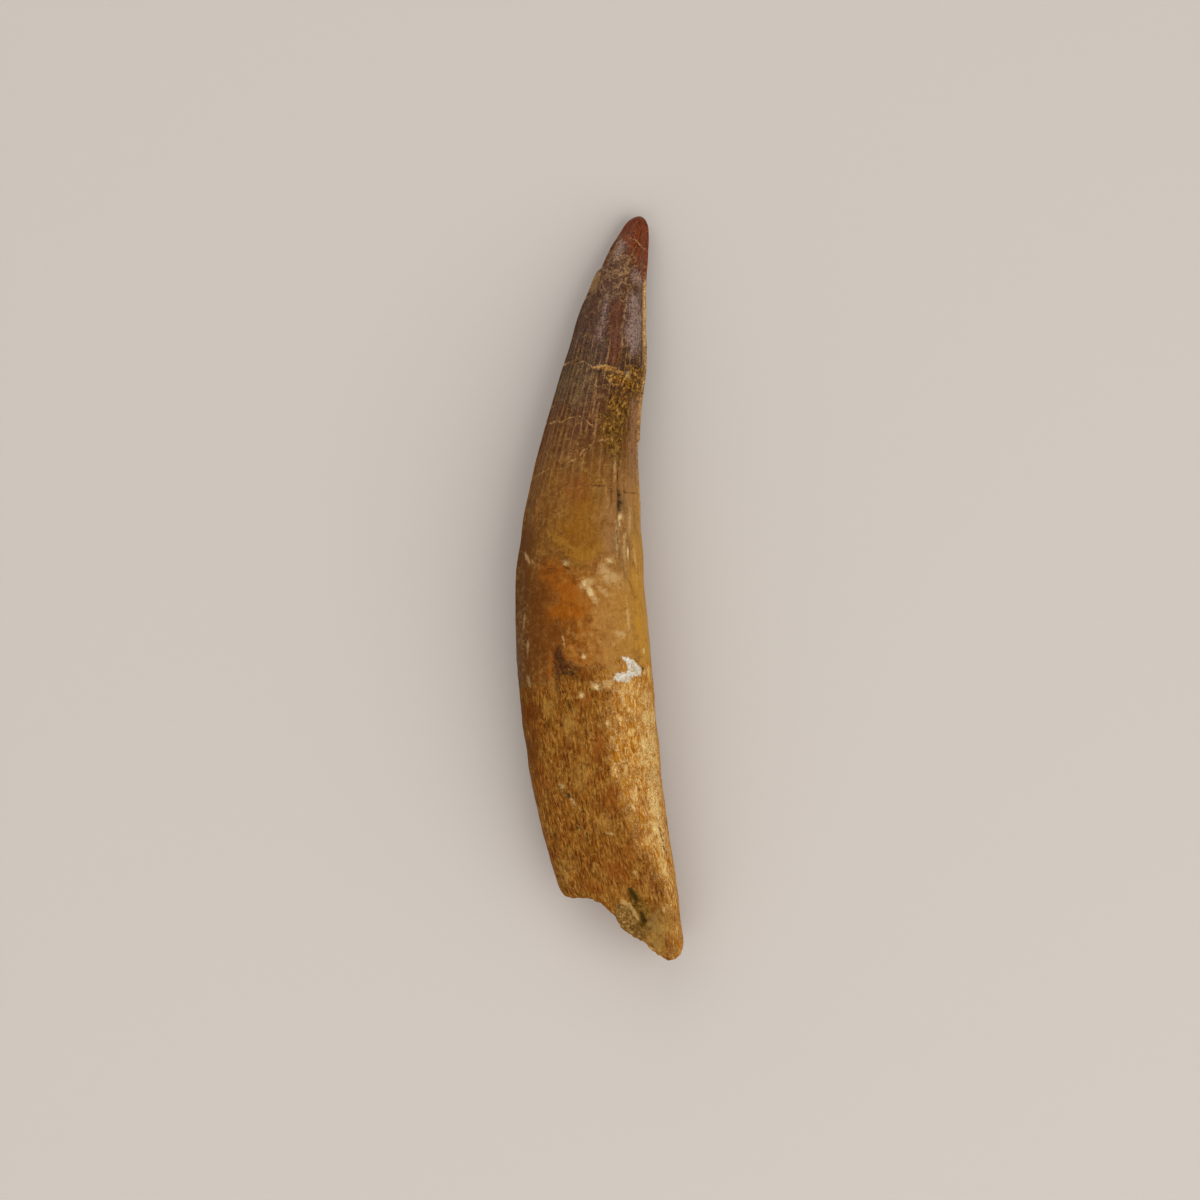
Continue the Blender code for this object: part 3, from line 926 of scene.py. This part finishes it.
class ToothShader(Shader):
    """The tooth's material: its colour so far, and the noises and masks that its layers share."""

    def __init__(self):
        super().__init__(bpy.data.materials.new("fossil tooth surface"))
        self.colour = None
        self.straight = self.place("straight")
        self.height = self.node("ShaderNodeSeparateXYZ", {0: self.straight}, "Y")
        self.cloud = self.noise(self.straight, 0.42)
        self.marble = self.noise(self.straight, 0.4, 3, 0.5, 1.6) - 0.5
        self.medium = self.noise(self.straight, 1.3) - 0.5
        self.fine = self.noise(self.straight, 3.6, 3, 0.65) - 0.5
        self.mottled = self.medium + self.fine
        self.grains = self.noise(self.place("straight", 0.7, 1.1), 1.9, 4, 0.68, 0.8)
        self.patchy = self.mottled * 2.6 + 1
        self.wobble = self.medium * 0.8 + self.fine * 0.4
        self.unbroken = self.band(self.noise(self.straight, 1.1), 0.36, 0.6)
        self.crown = self.band(self.mask("crown") + (self.medium * 1.6 + self.fine * 1.4), 0.2, 0.8)
        self.crust = self.band(self.mask("crust") + self.mottled * 1.6, 0.2, 1.2)
        self.outer_root = self.band(self.mask("inner"), 0.3, 0.05) * self.band(self.crown, 1, 0)
        self.dark_cracks = self.line("dark_crack", 0.16)

    def line(self, name, half_width):
        """How much of a thin line there is: 1 along it, and 0 where it breaks off."""
        away = abs(self.mask(name) + self.wobble)
        return self.band(away, 0.3 * half_width, half_width, 1, 0) * self.unbroken

    def lay(self, amount, colour):
        """Lays this much of a colour over the colour so far."""
        self.colour = self.mix(amount, self.colour, colour)

    def lay_curls(self, name, broken_by, share=None):
        """Lays thin lines that follow one level of a noise, and break off where another is low."""
        place, along, across, scale, width, amount, colour = CURLS[name]
        level = abs(self.noise(self.place(place, along, across), scale, 2, 0.5, 0.8) - 0.5)
        lines = self.band(level, 0.3 * width, width, amount, 0) * self.band(broken_by, -0.14, 0.1)
        self.lay(lines * share if share else lines, colour)


CURLS = {
    # place, how stretched along and across, scale, width, how much, colour
    "dark_fibres": ("straight", 0.25, 1, 1.5, 0.07, 0.45, "#4a2604"),
    "pale_fibres": ("straight", 0.3, 1.3, 1.6, 0.06, 0.45, "#b48842"),
    "pale_curls": ("straight", 0.45, 1, 1.5, 0.1, 0.55, "#dec48a"),
    "dark_curls": ("straight", 0.45, 1.1, 1.7, 0.09, 0.6, "#904c04"),
    "pale_swirls": ("straight", 0.6, 1, 1.2, 0.08, 0.14, "#c0924e"),
    "dark_swirls": ("straight", 0.5, 1, 1.1, 0.08, 0.2, "#542c04"),
    "hidden_lines": ("turned", 0.12, 1, 0.8, 0.05, 0.45, "#54300a"),
    "wisps": ("straight", 0.9, 1, 0.55, 0.05, 0.3, "#c4985a"),
    "loops": ("straight", 0.8, 1, 0.75, 0.07, 0.32, "#a48242"),
}

# The root's fibres and mottle: the noise's value, then its colour.
BROWN_FIBRES = ((0.34, "#4c2202"), (0.45, "#683607"), (0.56, "#7c480e"), (0.7, "#9c6626"))
OLIVE_FIBRES = ((0.33, "#583206"), (0.45, "#73460f"), (0.57, "#89581a"), (0.71, "#aa7c3a"))
GOLD_MOTTLE = ((0.34, "#844604"), (0.46, "#a46612"), (0.57, "#ba822a"), (0.72, "#daba74"))


def root_colour(paint):
    """Brown fibres on the outer side of the root, and gold with cream curls on the inner side."""
    fibres = paint.noise(paint.place("straight", 0.28), 3.1, 4, 0.6, 0.6)
    paint.colour = paint.ramp(fibres, BROWN_FIBRES)
    paint.lay(paint.band(paint.cloud, 0.4, 0.62), paint.ramp(fibres, OLIVE_FIBRES))
    paint.lay_curls("dark_fibres", paint.medium)
    paint.lay_curls("pale_fibres", paint.medium)
    brown = paint.colour
    flecks = paint.mask("fleck")
    mottle = paint.noise(paint.place("straight", 0.38), 2.3, 4, 0.64, 0.8) + flecks * 0.08
    paint.colour = paint.ramp(mottle, GOLD_MOTTLE)
    paint.lay_curls("pale_curls", paint.fine)
    paint.lay_curls("dark_curls", paint.fine)
    inner = paint.mask("bright") + paint.cloud * 0.9 + paint.fine * 0.8 + flecks * 0.3
    return paint.mix(paint.band(inner, 0.75, 1.55), brown, paint.colour)


# Up the crown: height, then colour.
CROWN_COLOURS = (
    (66, "#744812"), (80, "#512a09"), (88, "#38210c"), (91, "#412518"), (102, "#4b2b1b"),
    (108, "#642c0a"),
)
# The crown's base and the part above it, from the outer edge of the tooth's curve to the inner edge.
BASE_COLOURS = (
    (0, "#60360c"), (0.2, "#6a3a08"), (0.4, "#804608"), (0.5, "#925818"), (0.62, "#9b6628"),
    (0.8, "#a3732e"), (1, "#b17d2a"),
)
MIDDLE_COLOURS = (
    (0, "#684016"), (0.2, "#764a18"), (0.4, "#794d12"), (0.6, "#82561b"), (0.8, "#8a6032"),
    (1, "#9c7138"),
)
BASE_ENDS = (54, 61)
MIDDLE_ENDS = (66, 78)
SWIRLS_FADE = (62, 84)
STREAKS_RISE = (56, 80)


def crown_colour(paint):
    """Enamel, from orange brown at its base through purple brown to a red tip."""
    side = paint.mask("inner") + paint.marble * 0.5
    height = paint.height + paint.marble * 12
    paint.colour = paint.ramp(side, BASE_COLOURS)
    paint.lay(paint.band(height, *BASE_ENDS), paint.ramp(side, MIDDLE_COLOURS))
    wandering = paint.height + paint.band(paint.cloud, 0.2, 0.8, -3, 3)
    enamel = paint.ramp(wandering / TIP, [(at / TIP, colour) for at, colour in CROWN_COLOURS])
    paint.lay(paint.band(height, *MIDDLE_ENDS), enamel)
    lay_swirls(paint)
    lay_streaks(paint)
    # Wisps, stronger in the pale haze, which is partly the glow of a painted highlight.
    paint.lay_curls("wisps", paint.medium, paint.band(paint.mask("pale_haze_and_highlight"), 0, 0.3, 0.5, 1.3))
    return paint.colour


def lay_swirls(paint):
    """Pale and dark swirls, strongest at the crown's base."""
    swirl = paint.marble + paint.medium * 0.5
    low = paint.band(paint.height, *SWIRLS_FADE, 1, 0.35)
    paint.lay(paint.band(swirl, 0, 0.3, 0, 0.4) * low, "#b07e3c")
    paint.lay(paint.band(swirl, 0, -0.3, 0, 0.45) * low, "#5e3006")
    paint.lay_curls("pale_swirls", paint.medium, low)
    paint.lay_curls("dark_swirls", paint.medium, low)
    paint.lay_curls("hidden_lines", paint.medium, paint.mask("turned_away"))


def lay_streaks(paint):
    """Pale streaks along the flutes' crests, and dark ones between them."""
    streak = paint.noise(paint.place("turned", 0.12), 2.2, 4, 0.7, 0.3)
    light = paint.mask("flute") * 0.55 + streak + paint.fine * 0.5
    strong = paint.band(paint.height, *STREAKS_RISE, 0.15, 0.66)
    strong = paint.most(strong, paint.mask("turned_away") * 0.45)
    paint.lay(paint.band(light, 0.78, 1.14) * strong, "#906a3e")
    paint.lay(paint.band(light, 0.62, 0.36) * strong, "#3c220e")


ZONES = (
    # mask, colour, how much, how ragged its edge is
    ("shaded", "#442400", 0.5, 1.6),
    ("straw", "#a27836", 0.45, 2.4),
    ("rust", "#80400c", 0.45, 3),
    ("tan", "#a87638", 0.2, 2.4),
    ("ochre", "#8a560c", 0.5, 1.6),
    ("orange", "#924e02", 0.7, 1.4),
    ("flame", "#b06808", 0.5, 1.6),
    ("burnt", "#5c2e04", 0.6, 1.6),
    ("mauve", "#93673e", 0.64, 2.6),
    ("gold", "#b88422", 0.45, 2),
    ("maroon", "#321204", 0.85, 2.8),
    ("grey", "#604c32", 0.4, 3),
    ("red", "#643018", 0.55, 2.4),
    # Painted sheen: highlights on the enamel painted as a lilac grey.
    ("painted_sheen", "#9c8278", 0.55, 1.6),
    ("tip", "#6a2a08", 0.8, 3.2),
    ("sliver", "#8e6a3a", 0.6, 1.6),
    ("lobe", "#9a7838", 0.6, 2),
    # Pale band along the root's inner edge: partly paler fibres, partly painted light.
    ("rim", "#dec07e", 0.4, 4.5),
    ("pore", "#301a06", 0.75, 2.8),
    # Pale haze and streaks, partly the glow of a painted highlight.
    ("pale_haze_and_highlight", "#be9c68", 0.55, 2.4),
    # Cream spots, two of them painted highlights.
    ("cream", "#e4ca90", 0.65, 1.8),
    ("fleck", "#dcc28a", 0.26, 5),
)


def lay_stains(paint):
    """Each zone's colour, with an edge as ragged as the zone says. Most are stains, and some are painted
    light: painted shade along the outer edge, painted sheens, painted light along the root's inner edge and
    painted highlights.
    """
    ragged = paint.marble + (paint.medium + paint.fine * 0.6)
    for name, colour, amount, raggedness in ZONES:
        mask = paint.mask(name)
        mask = mask + ragged * (mask * raggedness)
        paint.lay(paint.band(mask, 0.04, 0.92, 0, amount), colour)
    paint.lay_curls("loops", paint.medium, paint.mask("loops"))


def lay_veins(paint):
    """The net of fine cracks below the tip, and the veins over it."""
    bends = paint.noise(paint.straight, 0.9, 2)
    bent = paint.node("ShaderNodeVectorMath", {0: paint.straight, 1: bends}, operation="ADD")
    cells = {"Vector": bent, "Scale": 0.7}
    to_edge = paint.node("ShaderNodeTexVoronoi", cells, "Distance", feature="DISTANCE_TO_EDGE")
    net = paint.band(to_edge, 0, 0.12, 1, 0) * paint.mask("crackle") * paint.unbroken
    paint.lay(paint.most(net, paint.line("vein", 0.2)) * 0.6, "#a07a52")


# The crusts: the grains' value, then its colour. The upper crust is crumbs and the lower one sand.
SAND = ((0.38, "#322008"), (0.47, "#604014"), (0.56, "#865e1e"), (0.66, "#ba8a3c"))
CRUMBS = ((0.4, "#2a1604"), (0.48, "#70460c"), (0.56, "#98681e"), (0.65, "#d8a858"))
CRUMBS_START = (80, 85)


def lay_crusts(paint):
    sand, crumbs = paint.ramp(paint.grains, SAND), paint.ramp(paint.grains, CRUMBS)
    paint.lay(paint.crust * 0.8, paint.mix(paint.band(paint.height, *CRUMBS_START), sand, crumbs))


def lay_cracks(paint):
    """The cream and dark cracks and the crevice, then the pale line along the inner keel."""
    paint.lay(paint.line("cream_crack", 0.14) * 0.6, "#be9054")
    paint.lay(paint.dark_cracks * 0.8, "#321c08")
    mask = paint.mask("crevice")
    crevice = paint.band(mask + paint.medium * 1.2, 0.5, 1.05) * paint.band(mask, 0.1, 0.4)
    paint.lay(crevice * 0.5, "#281c0a")
    edge = abs(paint.mask("keel_side") + paint.fine * 0.9 - 0.3)
    keel_line = paint.band(paint.mask("keel") + paint.mottled, 0.4, 1.1)
    paint.lay(paint.band(edge, 0.1, 0.6, 1, 0) * keel_line * 0.85, "#c6985a")


def lay_white_patch(paint):
    white = paint.band(paint.mask("white") + paint.fine * 1.2, 0.2, 0.9)
    chalk = paint.mix(paint.band(paint.mottled, -0.3, 0.2), "#b29e7a", "#d4d2c8")
    paint.lay(white * 0.92, chalk)


# Where the root is broken: a noise's value, then its colour.
FACET_SPECKLE = ((0.3, "#3e280c"), (0.46, "#6a4a1e"), (0.58, "#8e6c38"), (0.76, "#bca06c"))
BROKEN_WALL = ((0.3, "#683e18"), (0.5, "#a06e34"), (0.7, "#cea668"))
STONE = ((0.3, "#3c2412"), (0.5, "#7e522e"), (0.7, "#b28858"))


def lay_breaks(paint):
    """The facet where the root's wall has broken away, the bands, the pit and the broken end."""
    speckle = paint.ramp(paint.noise(paint.straight, 2.4, 4, 0.7, 0.4), FACET_SPECKLE)
    paint.lay(paint.band(paint.mask("facet") * paint.patchy, 0.2, 0.9), speckle)
    for name, (_, colour, amount, _) in BANDS.items():
        paint.lay(paint.band(paint.mask(name) * paint.patchy, 0.2, 0.8, 0, amount), colour)
    pit = paint.mix(paint.band(paint.mottled, -0.16, 0.16), "#543a10", "#946c2a")
    deep = paint.band(paint.mask("pit_wall") * paint.patchy, 0.2, 0.9, 0, 0.9)
    pit = paint.mix(deep, pit, "#3a2c0c")
    paint.lay(paint.band(paint.mask("pit") * paint.patchy, 0.12, 0.45), pit)
    paint.lay(paint.mask("wall"), paint.ramp(paint.noise(paint.straight, 1.6, 4), BROKEN_WALL))
    paint.lay(paint.mask("filling"), paint.ramp(paint.grains, STONE))


def grained_colour(paint):
    """The colour made lighter and darker by grit, scratches along the tooth and streaks at the tip."""
    grit = paint.fine + (paint.noise(paint.straight, 6, 1) - 0.5)
    gritty = paint.band(paint.height, 66, 90, 0.45, 2.2)
    # More grit on the painted sheens.
    gritty = gritty * paint.band(paint.mask("painted_sheen"), 0, 0.6, 1, 1.3)
    gritty = gritty + (paint.outer_root + paint.mask("rim")) + paint.mask("maroon") * 2
    scratches = paint.noise(paint.place("turned", 0.13), 4, 4, 0.65) - 0.5
    scratched = paint.band(paint.height, 60, 92, 0.4, 1.6) + paint.outer_root * 1.6
    streaks = (paint.noise(paint.place("turned", 0.2), 3, 4, 0.66) - 0.5) * paint.mask("tip")
    grain = grit * gritty + scratches * scratched + streaks * 3.4 + 1
    return paint.mix(1, paint.colour, grain, "MULTIPLY")


def gloss(paint):
    """Matt root and crusts, and enamel whose coat shines more towards the tip."""
    coat = (paint.crown - paint.crust) * paint.band(paint.fine, -0.2, 0.2, 0.3, 0.9)
    coat = coat * paint.band(paint.height, 60, 92, 0.1, 0.5)
    coat = coat * paint.band(paint.mask("shaded"), 0, 0.8, 1, 0.1)
    rough = paint.band(paint.crown, 0, 1, 0.75, 0.45) + paint.fine * 0.5
    return {"Roughness": rough, "Coat Weight": coat, "Coat Roughness": 0.25, "Specular IOR Level": 0.05}


def bump(paint):
    """Relief too fine for the mesh: the root's fibres, the crusts' grains and the dark cracks."""
    fibres = paint.noise(paint.place("straight", 0.2), 3.6, 4, 0.6)
    height = fibres * paint.band(paint.crown, 0, 1, 0.09, 0.02) + paint.fine * 0.035
    height = height + (paint.grains * paint.crust) * 0.2 - paint.dark_cracks * 0.05
    return paint.node("ShaderNodeBump", {"Height": height, "Distance": MM, "Strength": 1})


def fossil_material():
    """The tooth's material: glossy enamel over matt root, with its cracks, crusts, stains and breaks."""
    paint = ToothShader()
    root = root_colour(paint)
    paint.colour = paint.mix(paint.crown, root, crown_colour(paint))
    for lay in (lay_stains, lay_veins, lay_crusts, lay_cracks, lay_white_patch, lay_breaks):
        lay(paint)
    surface = {"Base Color": grained_colour(paint), "Normal": bump(paint), **gloss(paint)}
    paint.feed(paint.last, surface)
    return paint.owner


FLOOR_HALF_SIZE = 8
FLOOR_COLOUR = "#c4bdb7"
HORIZON_COLOUR = "#ccc6c0"
SKY_COLOURS = ((0.18, HORIZON_COLOUR), (0.45, "#b0afae"))
BLACK = "#000000"
FLOOR_FADES = (0.35, 1.1)

# The soft lights: place and target in metres, size in metres and power in watts.
LIGHTS = {
    "key": ((0.5, -0.3, 0.64), (0, -0.01, 0), 1, 5.2),
    "fill_at_root": ((-0.3, -0.6, 0.55), (0, 0, 0), 0.9, 2.7),
    "fill_at_tip": ((-0.3, 0.6, 0.55), (0, 0, 0), 0.9, 2.5),
}
WARM_LIGHT = (1, 0.98, 0.95)


def make_floor():
    """A plain pale floor. It fades into the horizon's colour, so that no edge of it shows."""
    shader = Shader(bpy.data.materials.new("floor"))
    place = shader.node("ShaderNodeTexCoord", {}, "Object")
    distance = shader.node("ShaderNodeVectorMath", {0: place}, "Value", operation="LENGTH")
    far = shader.band(distance, *FLOOR_FADES)
    shader.feed(shader.last, {"Base Color": shader.mix(far, FLOOR_COLOUR, BLACK), "Roughness": 0.9})
    shader.feed(shader.last, {"Emission Strength": far, "Emission Color": HORIZON_COLOUR})
    shader.feed(shader.last, {"Specular IOR Level": 0})
    mesh = bpy.data.meshes.new("floor")
    low, high = -FLOOR_HALF_SIZE, FLOOR_HALF_SIZE
    corners = [(low, low, 0), (high, low, 0), (high, high, 0), (low, high, 0)]
    mesh.from_pydata(corners, [], [(0, 1, 2, 3)])
    mesh.materials.append(shader.owner)
    floor = add_to_scene("floor", mesh)


def make_light(name, place, target, size, power):
    """A square soft light, aimed at a point."""
    light = bpy.data.lights.new(name, "AREA")
    light.size = size
    light.energy = power
    light.color = WARM_LIGHT
    lamp = add_to_scene(name, light)
    lamp.location = place
    lamp.rotation_euler = (Vector(target) - Vector(place)).to_track_quat("-Z", "Y").to_euler()


def make_sky():
    """An even studio light from all round, a little darker overhead."""
    world = bpy.data.worlds.new("studio")
    bpy.context.scene.world = world
    shader = Shader(world, "Background")
    direction = shader.node("ShaderNodeTexCoord", {}, "Generated")
    height = shader.node("ShaderNodeSeparateXYZ", {0: direction}, "Z")
    shader.feed(shader.last, {"Color": shader.ramp(height, SKY_COLOURS)})


def make_camera():
    camera = bpy.data.cameras.new("camera")
    camera.lens = LENS
    camera.sensor_width = SENSOR
    camera.clip_start = 0.01
    eye = add_to_scene("camera", camera)
    eye.location = [part * MM for part in CAMERA_PLACE]
    bpy.context.scene.camera = eye


def main():
    bpy.context.scene.view_settings.view_transform = "Standard"
    make_camera()
    make_sky()
    for name, numbers in LIGHTS.items():
        make_light(name, *numbers)
    make_floor()
    tooth = make_tooth()
    tooth.data.materials.append(fossil_material())
    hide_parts("tooth")
    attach(tooth, "root")


main()
